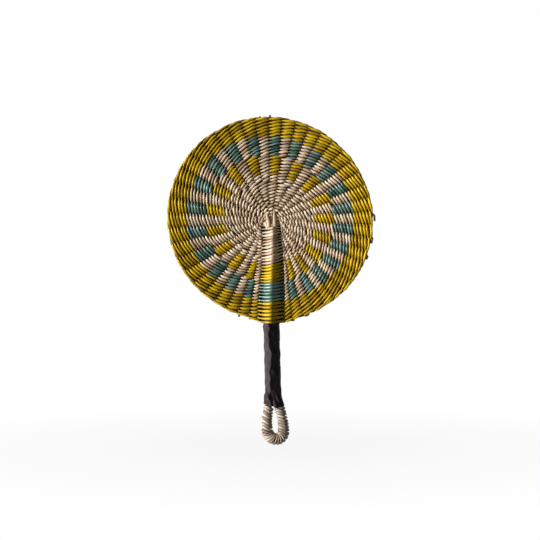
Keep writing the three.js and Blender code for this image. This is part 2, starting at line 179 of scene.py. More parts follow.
# Handle bundle
LEG_RADIUS = 4.5 * MM
LEG_OFFSET = 4.65 * MM  # of each leg from the handle's axis, where the two lie side by side
FILLER_RADIUS, FILLER_Y = 2.9 * MM, 6.14 * MM
PACKING_RADIUS, PACKING_X, PACKING_Y = 1.3 * MM, 5.0 * MM, 5.7 * MM
FLANK_X, FLANK_WIDTH = 12.5 * MM, 12.4 * MM  # flat straw that fills out the spine beside the bundle
FLANK_BOTTOM = GRIP_TOP + 2.4 * MM
FLANK_STEPS = 20
BUNDLE_TOP = DISC_Z - HEAD_START - 2 * MM
BUNDLE_STEPS, BUNDLE_SIDES = 30, 12
HANDLE_SWEEP = 6.3 * MM  # how far the handle has drifted to the right at the bottom of the loop
SPREAD_START = GRIP_BOTTOM + 23 * MM  # where the legs begin to part
LOOP_SHOULDER = LOOP_BOTTOM + ROPE_RADIUS + LOOP_HALF_WIDTH
LEG_STEPS, BEND_STEPS = 60, 33

# Loop winding
WINDING_TOP = GRIP_BOTTOM - 1.5 * MM
WINDING_TURNS = 27
WINDING_SHARE = 0.88  # of the pitch: the turns barely touch
WINDING_THICKNESS = 2.5 * MM
WINDING_SLACK = 0.45 * MM  # between the turns and the core
WINDING_SLANT = 1.9 * MM  # how far the inside of a turn runs ahead of its outside
WINDING_BUNCH = 2.0 * MM  # how much thicker the turns are where they bunch up inside the bend
WINDING_WIDEN = 0.6  # how much wider they are there
BUNCH_START, BUNCH_FULL = LOOP_SHOULDER + 18 * MM, LOOP_SHOULDER - 8 * MM
PITCH_VARIES, TURN_VARIES = 0.12, 0.15  # how much the place and the width of a turn vary
TURN_SHADES, SHADES_PER_TURN = (1.1, 1.8), 3  # the beta distribution of the shades
WINDING_STEPS = 28
PATH_STEPS = 40  # fine steps to each step of the loop's path

# Leather grip. The angles round it run from the right by the back and the left to the front
LEATHER_THICKNESS = 1.3 * MM
GRIP_COLUMNS, GRIP_ROWS = 180, 220
GRIP_SLACK, GRIP_SLACK_BELOW = 0.4 * MM, -0.1 * MM  # beside the legs, above and at the lower edge
GRIP_RIDGE = 2.4 * MM  # the front of the grip is a ridge, as the spine is, with a flat to its right
GRIP_FLAT = 0.66  # the angle from the ridge to the foot of the flat
RIDGE_FADE = 0.4  # the share of the relief that is lost at the lower edge
LAP_ANGLE, LAP_WIDTH = 1.43 * math.pi, 0.5  # the ridge lies along the edge of the lap
LAP_WAVES = [(0.11, 14 * MM, 1.0), (0.07, 6 * MM, 0), (0.05, 2.7 * MM, 2)]  # swing, length, phase
LAP_STEP, STEP_WIDTH, STEP_REACH = 0.6 * MM, 0.03, 0.7  # the lap is higher to the left of its edge
LOWER_SLANT, LOWER_TONGUE = 1.8 * MM, 2.1 * MM  # the lower edge hangs down on the right and at the front
LOWER_CORNER, CORNER_ANGLE, CORNER_WIDTH = 2.6 * MM, 1.66 * math.pi, 0.3  # and between the two
LOWER_WAVES = [(0.5 * MM, 7, 0.6), (0.4 * MM, 11, 2)]  # height, number, phase
UPPER_NOTCH, NOTCH_ANGLE, NOTCH_WIDTH = 2.4 * MM, 1.1 * math.pi, 0.25  # the upper edge dips on the left
WRINKLE, FINE_WRINKLE, CREASE, CRUMPLE = 0.34 * MM, 0.26 * MM, 0.22 * MM, 1.5 * MM  # heights

# Folds of the leather: height and angle of the upper and of the lower end, and how far they stand out
FOLD_WIDTH, FOLD_FADE = 0.15, 0.25
FOLDS = [
    (GRIP_TOP - 2 * MM, 1.02 * math.pi, GRIP_TOP - 14 * MM, 1.22 * math.pi, 1.5 * MM),
    (GRIP_TOP - 6 * MM, 0.94 * math.pi, GRIP_TOP - 18 * MM, 1.16 * math.pi, -1.2 * MM),
    (GRIP_TOP - 4 * MM, 1.28 * math.pi, GRIP_TOP - 26 * MM, 1.45 * math.pi, 1.4 * MM),
    (GRIP_TOP - 46 * MM, 1.16 * math.pi, GRIP_TOP - 68 * MM, 1.34 * math.pi, 0.9 * MM),
    (GRIP_BOTTOM + 26 * MM, 1.16 * math.pi, GRIP_BOTTOM + 4 * MM, 1.42 * math.pi, 2.4 * MM),
    (GRIP_BOTTOM + 20 * MM, 1.08 * math.pi, GRIP_BOTTOM - 2 * MM, 1.32 * math.pi, -2.4 * MM),
    (GRIP_BOTTOM + 18 * MM, 0.98 * math.pi, GRIP_BOTTOM - 6 * MM, 1.2 * math.pi, 1.3 * MM),
    (GRIP_BOTTOM + 10 * MM, 0.9 * math.pi, GRIP_BOTTOM - 6 * MM, 1.12 * math.pi, -1.2 * MM),
    (GRIP_BOTTOM + 12 * MM, 1.5 * math.pi, GRIP_BOTTOM - 4 * MM, 1.6 * math.pi, 1.0 * MM),
]

# Photograph frame, at the scale of the disc
IMAGE_PIXELS = 540
DISC_SIZE, DISC_PIXELS = 280 * MM, 205
PIXEL = DISC_SIZE / DISC_PIXELS
IMAGE_CENTRE = (-2.5 * MM, 128.4 * MM)  # x and z
LENS = 100
SENSOR = 36

# Lamps, in metres and watts: name, place, size, power. All are aimed at the disc's centre
LAMPS = [
    ("key", (-7.25, -3.1, 1.0), 1.2, 1270),
    ("fill", (0.9, -1.4, 0.5), 0.9, 0.4),
    ("back", (-0.5, 1.7, 0.7), 0.8, 18),
]
WORLD_LIGHT = 0.015

# Floor, in metres
FLOOR_SIZE, FLOOR_DROP = 2.4, 0.5 * MM
FLOOR_FADE = (0.08, 0.6)  # distances from the object between which the floor turns white
FLOOR_WHITE = (0.9, 1.0)  # the share of white at these
FLOOR_COLOUR, FLOOR_ROUGHNESS = (0.3, 0.3, 0.3), 0.9

# Linear colours: the pale and the deep end of each dye's range
DYES = {
    "natural": ("natural_grass", (0.82, 0.66, 0.475), (0.36, 0.232, 0.132)),
    "yellow": ("yellow_grass", (0.65, 0.43, 0.008), (0.28, 0.162, 0.003)),
    "teal": ("teal_grass", (0.16, 0.265, 0.22), (0.013, 0.048, 0.036)),
}
LOOP_GRASS = (0.66, 0.57, 0.46), (0.15, 0.107, 0.07)
WITHERED = (0.20, 0.14, 0.03), (0.055, 0.038, 0.01)
# Straw of the spokes and of the handle's bundle: near black, as painted shade in the gaps between the strands
# and the turns
STRAW_PAINTED_SHADE = (0.05, 0.035, 0.02)
LEATHER, LEATHER_DUST = (0.062, 0.050, 0.058), (0.2, 0.17, 0.19)
BLACK, WHITE = (0, 0, 0), (1, 1, 1)
FIBRE_DARK, FIBRE_PALE = (0.62, 0.58, 0.54), (1.06, 1.06, 1.06)  # multiply the colour of the strand
FIBRE_STRETCH = (0.11, 2.4, 2.4)  # along the strand and across it


# Curves

def unit(vectors):
    return vectors / np.maximum(np.linalg.norm(vectors, axis=-1, keepdims=True), 1e-12)


def smooth(start, end, value):
    """Zero at the start and one at the end, with a soft rise between them."""
    t = np.clip((value - start) / (end - start), 0, 1)
    return t * t * (3 - 2 * t)


def hump(value, middle, width):
    """One at the middle, with a soft fall to both sides."""
    return np.exp(-(((value - middle) / width) ** 2))


def between(at, known, points):
    """Points of a path, where its given points lie at known distances."""
    return np.stack([np.interp(at, known, points[:, axis]) for axis in range(3)], -1)


def travelled(path):
    """How far along a path each of its points lies."""
    steps = np.linalg.norm(np.diff(path, axis=0), axis=1)
    return np.concatenate([[0], np.cumsum(steps)])


# Meshes

def mesh_object(name, points, faces, uv, values=None, vectors=None):
    """A smooth mesh from arrays: faces is a list of index arrays, each with its own number of corners."""
    mesh = bpy.data.meshes.new(name)
    sizes = np.concatenate([np.full(len(f), f.shape[1], np.int32) for f in faces])
    corners = np.concatenate([f.ravel() for f in faces]).astype(np.int32)
    mesh.vertices.add(len(points))
    mesh.vertices.foreach_set("co", np.asarray(points, np.float32).ravel())
    mesh.loops.add(len(corners))
    mesh.loops.foreach_set("vertex_index", corners)
    mesh.polygons.add(len(sizes))
    mesh.polygons.foreach_set("loop_start", (np.cumsum(sizes) - sizes).astype(np.int32))
    mesh.update(calc_edges=True)
    mesh.polygons.foreach_set("use_smooth", np.ones(len(sizes), bool))
    layer = mesh.uv_layers.new(name="OFBake", do_init=False)
    layer.uv.foreach_set("vector", uv.astype(np.float32).ravel())
    for key, data in (values or {}).items():
        attribute = mesh.attributes.new(key, "FLOAT", "POINT")
        attribute.data.foreach_set("value", data.astype(np.float32).ravel())
    for key, data in (vectors or {}).items():
        attribute = mesh.attributes.new(key, "FLOAT_VECTOR", "POINT")
        attribute.data.foreach_set("vector", data.astype(np.float32).ravel())
    mesh.validate()
    thing = bpy.data.objects.new(name, mesh)
    bpy.context.collection.objects.link(thing)
    return thing


def tube_faces(index, closed):
    """Faces between rings of vertices, and how far along and how far round the tube their corners lie."""
    length, sides = index.shape
    steps = length if closed else length - 1
    i, j = np.meshgrid(np.arange(steps), np.arange(sides), indexing="ij")
    after, turned = (i + 1) % length, (j + 1) % sides
    quads = np.stack([index[i, j], index[i, turned], index[after, turned], index[after, j]], -1)
    along = np.stack([i, i, i + 1, i + 1], -1) / steps
    around = np.stack([j, j + 1, j + 1, j], -1) / sides
    return quads.reshape(-1, 4), along, around


class Tubes:
    """Strands that are joined into one mesh. Each has a stripe of the UV map, and grain along it."""

    CAP_SHARE = 0.02  # of the length of a stripe, at each end, for the cap
    STRIPE_MARGIN = 0.05  # of the width of a stripe, at each side
    CAP_RADIUS = 0.4  # in widths of a stripe
    GRAIN_SHIFT = 61  # from strand to strand, so that each has its own fibres

    def __init__(self):
        self.points, self.faces, self.uv, self.tint, self.grain = [], [], [], [], []
        self.vertices = 0
        self.strands = 0

    def add(self, centre, outward, half_thickness, half_width, tint, closed=False, sides=SIDES):
        """A strand through the centres, with an elliptical section whose short axis points outward.

        The outward direction, the half sizes and the tint are given for each centre, or once for all.
        """
        length = len(centre)
        outward = np.broadcast_to(outward, centre.shape)
        half_thickness = np.broadcast_to(half_thickness, length)
        half_width = np.broadcast_to(half_width, length)
        tint = np.broadcast_to(tint, length)
        if closed:
            along = unit(np.roll(centre, -1, 0) - np.roll(centre, 1, 0))
        else:
            along = unit(np.gradient(centre, axis=0))
        out = unit(outward - (outward * along).sum(1, keepdims=True) * along)
        side = np.cross(along, out)
        around = TURN * np.arange(sides) / sides
        thick = half_thickness[:, None] * np.cos(around)
        wide = half_width[:, None] * np.sin(around)
        ring = centre[:, None] + out[:, None] * thick[..., None] + side[:, None] * wide[..., None]

        index = self.vertices + np.arange(length * sides).reshape(length, sides)
        quads, u, v = tube_faces(index, closed)
        margin = 0 if closed else self.CAP_SHARE
        u = margin + (1 - 2 * margin) * u
        v = self.strands + self.STRIPE_MARGIN + (1 - 2 * self.STRIPE_MARGIN) * v
        self.faces.append(quads)
        self.uv.append(np.stack([u, v], -1).reshape(-1, 2))
        if not closed:
            for row, start, order in ((0, 0, -1), (length - 1, 1 - margin, 1)):
                self.faces.append(index[row, ::order][None])
                u = start + margin * (1 + np.cos(around)) / 2
                v = self.strands + 0.5 + self.CAP_RADIUS * np.sin(around)
                self.uv.append(np.stack([u, v], -1)[::order])

        self.points.append(ring.reshape(-1, 3))
        self.tint.append(np.repeat(tint, sides))
        self.grain.append(np.stack([
            np.repeat(travelled(centre) / MM + self.GRAIN_SHIFT * self.strands, sides),
            np.tile(np.cos(around), length),
            np.tile(np.sin(around), length),
        ], -1))
        self.vertices += length * sides
        self.strands += 1

    def build(self, name):
        uv = np.concatenate(self.uv)
        uv[:, 1] /= self.strands
        return mesh_object(
            name,
            np.concatenate(self.points),
            self.faces,
            uv,
            values={"tint": np.concatenate(self.tint)},
            vectors={"grain": np.concatenate(self.grain)},
        )


def place(thing, material, node):
    """Gives a finished piece its material, puts it on the body, and hides the CAD node that it stands for."""
    thing.data.materials.append(material)
    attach(thing, "root")
    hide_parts(node)


# Materials

def shader(name):
    """A new material, its node tree, and its principled shader."""
    material = bpy.data.materials.new(name)
    material.use_nodes = True
    tree = material.node_tree
    return material, tree, tree.nodes["Principled BSDF"]


def attribute_node(tree, name):
    node = tree.nodes.new("ShaderNodeAttribute")
    node.attribute_name = name
    return node


def noise(tree, vector, scale, detail):
    node = tree.nodes.new("ShaderNodeTexNoise")
    node.inputs["Scale"].default_value = scale
    node.inputs["Detail"].default_value = detail
    tree.links.new(vector, node.inputs["Vector"])
    return node.outputs["Fac"]


def ramp(tree, source, stops):
    node = tree.nodes.new("ShaderNodeValToRGB")
    while len(node.color_ramp.elements) < len(stops):
        node.color_ramp.elements.new(0.5)
    for element, (position, colour) in zip(node.color_ramp.elements, stops):
        element.position = position
        element.color = (*colour, 1)
    tree.links.new(source, node.inputs["Fac"])
    return node.outputs["Color"]


def add_bump(tree, bsdf, height, strength, distance):
    node = tree.nodes.new("ShaderNodeBump")
    node.inputs["Strength"].default_value = strength
    node.inputs["Distance"].default_value = distance
    tree.links.new(height, node.inputs["Height"])
    tree.links.new(node.outputs["Normal"], bsdf.inputs["Normal"])


def set_gloss(bsdf, roughness, specular):
    bsdf.inputs["Roughness"].default_value = roughness
    bsdf.inputs["Specular IOR Level"].default_value = specular


def mix(a, b, share):
    return tuple(x + (y - x) * share for x, y in zip(a, b))


def grass_material(name, pale, deep):
    """Dry grass: each float has its own shade, with fine fibres along the strand."""
    material, tree, bsdf = shader(name)
    tint = attribute_node(tree, "tint")
    shade = ramp(tree, tint.outputs["Fac"], [(0.0, deep), (0.55, mix(deep, pale, 0.62)), (1.0, pale)])

    grain = attribute_node(tree, "grain")
    stretch = tree.nodes.new("ShaderNodeMapping")
    stretch.inputs["Scale"].default_value = FIBRE_STRETCH
    tree.links.new(grain.outputs["Vector"], stretch.inputs["Vector"])
    fibre = noise(tree, stretch.outputs["Vector"], scale=1.6, detail=3)
    streak = ramp(tree, fibre, [(0.3, FIBRE_DARK), (0.62, FIBRE_PALE)])

    blend = tree.nodes.new("ShaderNodeMix")
    blend.data_type = "RGBA"
    blend.blend_type = "MULTIPLY"
    blend.inputs["Factor"].default_value = 1
    tree.links.new(shade, blend.inputs["A"])
    tree.links.new(streak, blend.inputs["B"])
    tree.links.new(blend.outputs["Result"], bsdf.inputs["Base Color"])

    add_bump(tree, bsdf, fibre, strength=0.25, distance=0.2 * MM)
    set_gloss(bsdf, roughness=0.33, specular=0.32)
    sheen = mix(pale, WHITE, 0.15)
    bsdf.inputs["Specular Tint"].default_value = (*(c / max(pale) for c in sheen), 1)
    return material


# Near-black straw: painted shade for the gaps that show between the strands and between the loop's turns
def painted_shade_straw_material():
    material, _, bsdf = shader("straw")
    bsdf.inputs["Base Color"].default_value = (*STRAW_PAINTED_SHADE, 1)
    set_gloss(bsdf, roughness=0.7, specular=0.1)
    return material


def leather_material():
    """Thin black-brown leather, with worn patches and fine pores."""
    material, tree, bsdf = shader("leather")
    where = tree.nodes.new("ShaderNodeTexCoord").outputs["Object"]
    wear = noise(tree, where, scale=90, detail=4)
    dark, worn = mix(LEATHER, BLACK, 0.4), mix(LEATHER, LEATHER_DUST, 0.1)
    tree.links.new(ramp(tree, wear, [(0.35, dark), (0.7, worn)]), bsdf.inputs["Base Color"])
    pores = noise(tree, where, scale=700, detail=3)
    add_bump(tree, bsdf, pores, strength=0.3, distance=0.3 * MM)
    set_gloss(bsdf, roughness=0.45, specular=0.02)
    return material


GRASS = {dye: grass_material(slot, pale, deep) for dye, (slot, pale, deep) in DYES.items()}
PAINTED_SHADE_STRAW_MATERIAL = painted_shade_straw_material()


# Disc layout: angles run clockwise from the spine, seen from the front

def row_radius(row):
    return EYE_RADIUS + (row + 0.5) * ROW_PITCH


def spine_reach(radius, side):
    """How far the spine reaches to one side at a radius."""
    full, start, end = side
    return HEAD_REACH + (full - HEAD_REACH) * smooth(start, end, radius)


def taper(radius):
    """The spine's share of its full width and height."""
    return (spine_reach(radius, LEFT_REACH) + spine_reach(radius, RIGHT_REACH)) / 2 / SPINE_SPREAD


def peg_angles(radius, ring):
    """The angles of a row's pegs, the spine first, and of the crossings before and after each of them.

    The spine's width crowds the pegs beside it.
    """
    pegs = ring["pegs"]
    half_room = math.pi / pegs
    even = TURN * np.arange(1, pegs) / pegs
    left, right = (math.atan2(spine_reach(radius, side), radius) for side in (LEFT_REACH, RIGHT_REACH))
    shift = 0
    for half_spine, beside in ((left, even), (right, even - TURN)):
        crowding = half_spine - half_room
        fade = np.exp((half_room - np.abs(beside)) / (CROWD_REACH * crowding))
        shift += np.sign(beside) * crowding * fade
    even = even + shift
    degrees = np.degrees(even)
    slipped = smooth(ring["slip_from"], ring["slip_to"], degrees)
    slipped = slipped * (1 - smooth(ring["slip_fade"], SLIP_END, degrees))
    angles = np.concatenate([[0], even + math.radians(ring["slip"]) * slipped])
    crossings = np.concatenate([[-right, left], (angles[1:-1] + angles[2:]) / 2, [TURN - right]])
    return angles, crossings


def straightened(radius, angle):
    """The share by which an inner row leaves its circle, so that it runs straight across the spine."""
    turned = np.abs((angle + math.pi) % TURN - math.pi)
    edge = np.arctan2(FLAT_HALF, radius)
    beyond = np.maximum(0, turned - edge)
    flat = (1 / np.cos(np.minimum(turned, edge)) - 1) * hump(beyond, 0, FLAT_RELAX)
    return flat * np.clip((FLAT_END - radius) / (FLAT_END - FLAT_HALF), 0, 1)


def pressed(radius, angle):
    """How far the lower rows are pressed up."""
    early = smooth(PRESS_FROM, PRESS_FULL, radius)
    late = 1 - (1 - PRESS_RIM) * smooth(PRESS_END, DISC_RADIUS, radius)
    return PRESS * (early * late) * np.maximum(0, np.cos(angle)) ** 2


def outline(radius, angle):
    """The radius with the lean, the oval and the sag of the hand-made disc."""
    share = radius / DISC_RADIUS
    lean = LEAN * smooth(0, LEAN_FULL, radius) * np.cos(angle - LEAN_ANGLE)
    oval = share * OVAL * np.cos(2 * (angle - OVAL_ANGLE))
    left = radius * np.sin(angle)
    lower_half = np.where(np.cos(angle) > 0, 1, 0)
    belly = share**4 * BELLY * lower_half * np.exp(-(((left - BELLY_LEFT) / BELLY_WIDTH) ** 4))
    tilt = SPINE_TILT * left / SPINE_SPREAD * hump(left, 0, TILT_WIDTH)
    tilt = lower_half * tilt * (1 - smooth(TILT_FULL, TILT_END, radius))
    return radius * (1 + straightened(radius, angle)) + lean + oval + belly + tilt - pressed(radius, angle)


def on_disc(radius, angle, lift):
    """A point of the dished disc. Lift is towards the front."""
    x = -radius * np.sin(angle)
    y = -DISH_DEPTH * (x / DISC_RADIUS) ** 2 - lift
    return np.stack([x, y, DISC_Z - radius * np.cos(angle)], -1)


def head_share(radius):
    """How much of its full height the spine has at a radius: it dies down to the disc's centre."""
    return taper(radius) * (HEAD_SHARE + (1 - HEAD_SHARE) * smooth(HEAD_START, HEAD_FULL, radius))


def belt(left, radius):
    """The height of a strand over the spine: straight flanks up to a rounded ridge."""
    reach = np.where(left > 0, spine_reach(radius, LEFT_REACH), spine_reach(radius, RIGHT_REACH))
    left = left * SPINE_SPREAD / reach
    ridge = RIDGE_LEFT[0] + (RIDGE_LEFT[1] - RIDGE_LEFT[0]) * radius / DISC_RADIUS
    x = left - ridge * np.maximum(0, 1 - (left / SPINE_SPREAD) ** 2)
    flank = BUNDLE_RADIUS + BELT_LIFT
    tilt = math.acos(flank / SPINE_SPREAD)
    top = (flank - RIDGE_RADIUS) / math.sin(tilt) + np.sqrt(np.maximum(0, RIDGE_RADIUS**2 - x**2))
    side = (flank - np.abs(x) * math.cos(tilt)) / math.sin(tilt)
    height = np.where(np.abs(x) < RIDGE_RADIUS * math.cos(tilt), top, side)
    return np.maximum(0, height) * head_share(radius)


# Weave

def vary(t, pegs, amount):
    """A random value at each peg, shared out smoothly along the row."""
    values = random.uniform(-amount, amount, pegs)
    return np.interp(t, np.arange(-1, pegs + 1), np.concatenate([values[-1:], values, values[:1]]))


def row_steps(radius, ring):
    """The steps along a row, and their angles.

    A step counts pegs, from the crossing before the spine to the crossing after the last spoke.
    """
    pegs = ring["pegs"]
    over_spine = np.linspace(-0.5, 0.5, SPINE_STEPS, endpoint=False)
    over_spokes = np.linspace(0.5, pegs - 0.5, (pegs - 1) * STEPS, endpoint=False)
    t = np.concatenate([over_spine, over_spokes])
    marks = np.empty(2 * pegs + 1)
    marks[1::2], marks[0::2] = peg_angles(radius, ring)
    return t, np.interp(t, np.arange(-0.5, pegs, 0.5), marks)


def strand_facing(centre, angle, toward, swing, on_spine):
    """Where a strand's short axis points: it turns at each crossing, and follows the spine's flanks."""
    radial = np.stack([-np.sin(angle), 0 * angle, -np.cos(angle)], -1)
    outward = radial * swing[:, None] ** 3
    outward[:, 1] -= toward
    along = unit(np.roll(centre, -1, 0) - np.roll(centre, 1, 0))
    normal = np.cross(along, radial)
    normal *= np.sign(-normal[:, 1:2] * toward[:, None] + 1e-9)
    turn = np.abs(swing[:, None]) ** LATE_TURN
    over_spine = normal * (1 - turn) + radial * np.sign(swing[:, None]) * turn
    return np.where(on_spine[:, None], over_spine, outward)


def twined_strand(tubes, row, strand):
    """One of the two strands that twist round each other along a row, past a peg at each half turn."""
    pegs = ROWS[row]["pegs"]
    radius = row_radius(row)
    t, angle = row_steps(radius, ROWS[row])
    spacing = TURN * radius / pegs
    scale = min(1, 0.5 + 0.5 * spacing / FULL_SPACING)

    # Toward goes from one in front of a peg to minus one behind the next, and swing is largest between them
    toward = np.cos(math.pi * (t + strand))
    swing = np.sin(math.pi * (t + strand))

    # Clear is zero beside the spine and one from the next crossing on
    clear = smooth(0.5, 1.5, np.minimum(np.abs(t), pegs - t))
    rise = SPINE_CROSSING_LIFT + (CROSSING_LIFT - SPINE_CROSSING_LIFT) * clear
    crossing = STRAND_CROSSING + (CROSSING_DEPTH - STRAND_CROSSING) * clear
    twist = SPINE_TWIST + (TWIST_OFFSET - SPINE_TWIST) * clear
    wander = ROW_WANDER
    if row == len(ROWS) - 1:
        twist, rise, wander = BORDER_TWIST, BORDER_RISE * rise, BORDER_WANDER
    twist = twist * min(1, spacing / TWIST_SPACING)
    r = outline(radius, angle) + twist * swing + vary(t, pegs, wander)
    lift = FRONT_LIFT * toward * (1 + FLATNESS - FLATNESS * toward**2) * (1 + vary(t, pegs, LIFT_VARIES))
    lift += rise * (1 - toward**2)
    width = crossing + (STRAND_WIDTH * (1 + vary(t, pegs, WIDTH_VARIES)) - crossing) * toward**2

    # Over the spine the strand follows the belt, and comes to a point at each side
    on_spine = np.abs(t) < 0.5
    aside = np.abs(2 * t[on_spine])
    lift[on_spine] = np.sign(toward[on_spine]) * belt(r[on_spine] * np.sin(angle[on_spine]), radius)
    lift[on_spine] += SPINE_CROSSING_LIFT * aside**3
    width[on_spine] = STRAND_CROSSING + (SPINE_STRAND_WIDTH - STRAND_CROSSING) * (1 - aside**POINTED)

    centre = on_disc(r, angle, lift)
    outward = strand_facing(centre, angle, toward, swing, on_spine)
    shade = random.beta(*FLOAT_SHADES, pegs)
    tint = shade[np.floor(t + 0.5).astype(int) % pegs]
    full = np.where(on_spine, SPINE_THICKNESS, STRAND_THICKNESS)
    thickness = scale * (CROSSING_THICKNESS + (full - CROSSING_THICKNESS) * toward**2)
    tubes.add(centre, outward, thickness / 2, scale * width / 2, tint, closed=True)


def make_weave():
    for name, node, rows, strands, dye in WEAVES:
        tubes = Tubes()
        for row in rows:
            for strand in strands:
                twined_strand(tubes, row, strand)
        place(tubes.build(name), GRASS[dye], node)


# Spokes

def spoke_stations():
    """The radius of the first and of the last row of each ring, with the ring."""
    stations = []
    row = 0
    for ring in RINGS:
        for edge in (row, row + ring["rows"] - 1):
            stations.append((row_radius(edge), ring))
        row += ring["rows"]
    return stations


def spoke_knots(spoke, stations, angles, rooms):
    """A spoke's radii, angles and rooms, found from the rim inwards to the ring where it starts."""
    index = spoke
    knots = [(DISC_RADIUS - SPOKE_STOP, angles[-1][spoke], rooms[-1][spoke])]
    for s in range(len(stations) - 2, -1, -1):
        inner, outer = len(angles[s]), len(angles[s + 1])
        spread = np.round((np.arange(inner) + 0.5) * outer / inner - 0.5)
        match = np.flatnonzero(spread == index)
        if not len(match):
            knots.append((stations[s][0] - SPOKE_LEAD, angles[s + 1][index], rooms[s + 1][index]))
            break
        index = match[0]
        knots.append((stations[s][0], angles[s][index], rooms[s][index]))
    return np.array(knots[::-1]).T


def make_spokes():
    """One flat straw for each spoke, which fills the room between its neighbours. Its near-black colour is
    painted shade.
    """
    stations = spoke_stations()
    crossings = [peg_angles(*station)[1][1:] for station in stations]
    angles = [(edges[1:] + edges[:-1]) / 2 for edges in crossings]
    rooms = [station[0] * np.diff(edges) for station, edges in zip(stations, crossings)]
    for spoke in range(len(angles[-1])):
        radii, turns, widths = spoke_knots(spoke, stations, angles, rooms)
        radius = np.linspace(radii[0], radii[-1], SPOKE_STEPS)
        angle = np.interp(radius, radii, turns)
        width = SPOKE_SHARE * np.interp(radius, radii, widths)
        thickness = np.minimum(SPOKE_THICKNESS, width)
        tubes = Tubes()
        tubes.add(on_disc(outline(radius, angle), angle, 0), FRONT, thickness / 2, width / 2, 0.5)
        number = f"{spoke + 1:02d}"
        place(tubes.build(f"spoke_straw_{number}"), PAINTED_SHADE_STRAW_MATERIAL, f"spoke_{number}")


# Head of the spine

def add_head_straws(tubes):
    """The straws of the bundle spread out at the disc's centre and turn into the inner spokes."""
    share = np.linspace(0, 1, HEAD_STEPS)[:, None]
    half_width = np.linspace(*HEAD_STRAW_WIDTH, HEAD_STEPS) / 2
    pegs = peg_angles(row_radius(0), RINGS[0])[0][1:]
    for toward, angle in [(toward, angle) for toward in (-1, 1) for angle in pegs]:
        start = on_disc(outline(row_radius(1), angle), angle, 0)
        inner = on_disc(outline(row_radius(0), angle), angle, 0)
        bend_z = DISC_Z + HEAD_BEND_Z * (inner[2] - DISC_Z)
        bend = np.array([HEAD_BEND_X * inner[0], toward * HEAD_BEND_Y, bend_z])
        end = np.array([HEAD_END_X * inner[0], toward * HEAD_END_Y, DISC_Z - HEAD_END_DROP])
        path = start * (1 - share) ** 3 + 3 * inner * share * (1 - share) ** 2
        path += 3 * bend * share**2 * (1 - share) + end * share**3
        tubes.add(path, FRONT, HEAD_STRAW_THICKNESS / 2, half_width, random.uniform(*HEAD_STRAW_SHADES))


def add_head_ribs(tubes):
    """Straws that run from the spine up over the first rows."""
    narrowing = np.linspace(1, RIB_TIP, HEAD_STEPS)
    for foot, tip, height, tint in HEAD_RIBS:
        x = foot + (tip - foot) * RIB_ACROSS
        z = DISC_Z + np.array([-RIB_DROP, 0, height / 2, height])
        knots = np.stack([x, -RIB_FORWARD, z], -1)
        path = between(np.linspace(0, len(knots) - 1, HEAD_STEPS), np.arange(len(knots)), knots)
        tubes.add(path, FRONT, RIB_THICKNESS / 2 * narrowing, RIB_WIDTH / 2 * narrowing, tint)


def make_head():
    tubes = Tubes()
    add_head_straws(tubes)
    add_head_ribs(tubes)
    place(tubes.build("bundle_head"), GRASS["natural"], "loop_hairpin")


# Loose ends

def make_loose_ends():
    """Ends of strands that have come out of the rim: some stand out, and some bend round along it."""
    tubes = Tubes()
    share = np.linspace(0, 1, LOOSE_STEPS)
    half = np.linspace(*LOOSE_WIDTH, LOOSE_STEPS) / 2
    for degrees, out, along in LOOSE_ENDS:
        angle = math.radians(degrees) + along / DISC_RADIUS * share**1.5
        rise = (out + LOOSE_ROOT) * smooth(0, 0.5 if along else 1, share)
        radius = outline(DISC_RADIUS - LOOSE_ROOT, angle) + rise
        tubes.add(on_disc(radius, angle, LOOSE_LIFT * (1 - share)), FRONT, half, half, 0)
    withered_grass = grass_material("withered_grass", *WITHERED)
    place(tubes.build("loose_ends"), withered_grass, "rim_border")


make_weave()
make_spokes()
make_head()
make_loose_ends()


# Handle bundle

def sweep(z):
    """The sideways drift of the handle below the disc."""
    t = np.clip((GRIP_TOP - z) / (GRIP_TOP - LOOP_BOTTOM), 0, 1)
    return HANDLE_SWEEP * t * t


def leg_offset(z):
    """How far each leg of the loop stands from the handle's axis, down to the loop's shoulder."""
    t = np.clip((SPREAD_START - z) / (SPREAD_START - LOOP_SHOULDER), 0, 1)
    return LEG_OFFSET + (LOOP_HALF_WIDTH - LEG_OFFSET) * np.sin(math.pi / 2 * t) ** 2


def loop_path(top):
    """The middle of the hairpin, from the left leg at a height round the loop to the right leg."""
    z = np.linspace(top, LOOP_SHOULDER, LEG_STEPS, endpoint=False)
    bend = np.linspace(math.pi, TURN, BEND_STEPS)
    bend_z = LOOP_SHOULDER + LOOP_HALF_WIDTH * np.sin(bend)
    offset = np.concatenate([-leg_offset(z), LOOP_HALF_WIDTH * np.cos(bend), leg_offset(z)[::-1]])
    height = np.concatenate([z, bend_z, z[::-1]])
    return np.stack([offset + sweep(height), 0 * height, height], -1)


def place_straw(name, path, half_thickness, half_width, node, sides=SIDES):
    tubes = Tubes()
    tubes.add(path, FRONT, half_thickness, half_width, 0.5, sides=sides)
    place(tubes.build(name), PAINTED_SHADE_STRAW_MATERIAL, node)


def place_round_straw(name, path, radius, node):
    """A straw of the handle. It thins out under the head of the spine."""
    share = head_share(DISC_Z - path[:, 2])
    path = path * np.stack([share, share, np.ones(len(path))], -1)
    place_straw(name, path, share * radius, share * radius, node, BUNDLE_SIDES)


